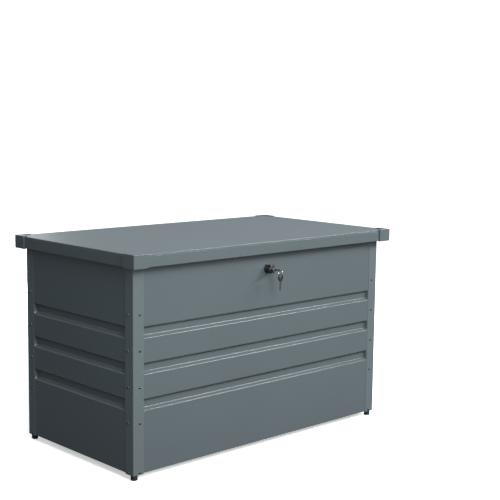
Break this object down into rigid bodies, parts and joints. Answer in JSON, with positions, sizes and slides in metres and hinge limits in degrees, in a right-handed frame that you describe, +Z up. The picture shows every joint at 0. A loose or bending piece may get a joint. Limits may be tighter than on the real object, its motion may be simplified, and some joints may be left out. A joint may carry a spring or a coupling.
{
  "type": "deck storage box",
  "caption": "Sheet-metal garden storage chest with ribbed walls, corner posts, a hinged lid on two gas struts and a keyed knob cam lock.",
  "frame": {"origin": "on the ground under the middle of the bounding box, keys included", "axes": "+X along the width, front towards -Y, +Z up"},
  "size_m": [1.2, 0.707, 0.7215],
  "materials": {
    "anthracite_coat": "satin anthracite powder coat",
    "back_coat": "semi-gloss pale grey-green back coat",
    "foot_rubber": "matt black",
    "plain_steel": "bright zinc",
    "yellow_zinc": "yellow passivated zinc",
    "strut_black": "gloss black",
    "polished_rod": "polished",
    "black_plastic": "satin black",
    "chrome": "bright"
  },
  "bodies": {
    "box": {"back_panel": "anthracite_coat", "floor_panel": "back_coat", "foot_back_left": "foot_rubber", "foot_back_right": "foot_rubber", "foot_front_left": "foot_rubber", "foot_front_right": "foot_rubber", "front_panel": "anthracite_coat", "hinge_body_leaf_left": "anthracite_coat", "hinge_body_leaf_middle": "anthracite_coat", "hinge_body_leaf_right": "anthracite_coat", "hinge_pin_left": "plain_steel", "hinge_pin_middle": "plain_steel", "hinge_pin_right": "plain_steel", "left_panel": "anthracite_coat", "lock_housing": "black_plastic", "lock_nut": "plain_steel", "post_back_left": "anthracite_coat", "post_back_right": "anthracite_coat", "post_front_left": "anthracite_coat", "post_front_right": "anthracite_coat", "right_panel": "anthracite_coat", "strut_lower_bracket_left": "yellow_zinc", "strut_lower_bracket_right": "yellow_zinc"},
    "lid": {"hinge_lid_leaf_left": "anthracite_coat", "hinge_lid_leaf_middle": "anthracite_coat", "hinge_lid_leaf_right": "anthracite_coat", "lid_cap_back_left": "anthracite_coat", "lid_cap_back_right": "anthracite_coat", "lid_cap_front_left": "anthracite_coat", "lid_cap_front_right": "anthracite_coat", "lid_liner": "back_coat", "lid_rail_back": "anthracite_coat", "lid_rail_front": "anthracite_coat", "lid_rail_left": "anthracite_coat", "lid_rail_right": "anthracite_coat", "lid_top_sheet": "anthracite_coat", "lock_keeper": "plain_steel", "strut_upper_bracket_left": "yellow_zinc", "strut_upper_bracket_right": "yellow_zinc"},
    "strut_tube_left": {"strut_upper_socket_left": "black_plastic", "strut_tube_left": "strut_black"},
    "strut_tube_right": {"strut_upper_socket_right": "black_plastic", "strut_tube_right": "strut_black"},
    "strut_rod_left": {"strut_rod_left": "polished_rod", "strut_lower_socket_left": "black_plastic"},
    "strut_rod_right": {"strut_rod_right": "polished_rod", "strut_lower_socket_right": "black_plastic"},
    "knob": {"lock_knob": "black_plastic", "lock_cam": "plain_steel", "lock_cam_screw": "plain_steel"},
    "barrel": {"lock_barrel": "chrome"},
    "key": {"key_blade": "chrome", "key_head": "black_plastic"},
    "ring": {"key_ring": "chrome"},
    "spare_key": {"spare_key_blade": "chrome", "spare_key_head": "black_plastic"}
  },
  "joints": [
    {"name": "lid_hinge", "type": "hinge", "parent": "box", "child": "lid", "pos_m": [0, 0.33265, 0.697], "axis": [-1, 0, 0], "range_deg": [0, 52]},
    {"name": "strut_swing_left", "type": "hinge", "parent": "lid", "child": "strut_tube_left", "pos_m": [-0.54, -0.02935, 0.68], "axis": [-1, 0, 0], "range_deg": [-1, 6.05]},
    {"name": "strut_slide_left", "type": "slide", "parent": "strut_tube_left", "child": "strut_rod_left", "axis": [0, 0.9724, -0.2334], "range_m": [0, 0.1165]},
    {"name": "strut_swing_right", "type": "hinge", "parent": "lid", "child": "strut_tube_right", "pos_m": [0.54, -0.02935, 0.68], "axis": [-1, 0, 0], "range_deg": [-1, 6.05]},
    {"name": "strut_slide_right", "type": "slide", "parent": "strut_tube_right", "child": "strut_rod_right", "axis": [0, 0.9724, -0.2334], "range_m": [0, 0.1165]},
    {"name": "knob_turn", "type": "hinge", "parent": "box", "child": "knob", "pos_m": [0, -0.29435, 0.622], "axis": [0, 1, 0], "range_deg": [0, 90]},
    {"name": "key_turn", "type": "hinge", "parent": "knob", "child": "barrel", "pos_m": [0, -0.31535, 0.622], "axis": [0, 1, 0], "range_deg": [0, 90]},
    {"name": "key_withdraw", "type": "slide", "parent": "barrel", "child": "key", "axis": [0, -1, 0], "range_m": [0, 0.03]},
    {"name": "ring_swing", "type": "hinge", "parent": "key", "child": "ring", "pos_m": [0, -0.34285, 0.622], "axis": [1, 0, 0], "range_deg": [-8, 8]},
    {"name": "spare_key_swing", "type": "hinge", "parent": "ring", "child": "spare_key", "pos_m": [0, -0.34285, 0.6056], "axis": [0, 1, 0], "range_deg": [-25, 25]}
  ],
  "couplings": [
    {"joint": "strut_swing_left", "follows": "lid_hinge", "ratio": 0.097102},
    {"joint": "strut_slide_left", "follows": "lid_hinge", "m_per_rad": 0.12781},
    {"joint": "strut_swing_right", "follows": "lid_hinge", "ratio": 0.097102},
    {"joint": "strut_slide_right", "follows": "lid_hinge", "m_per_rad": 0.12781}
  ]
}
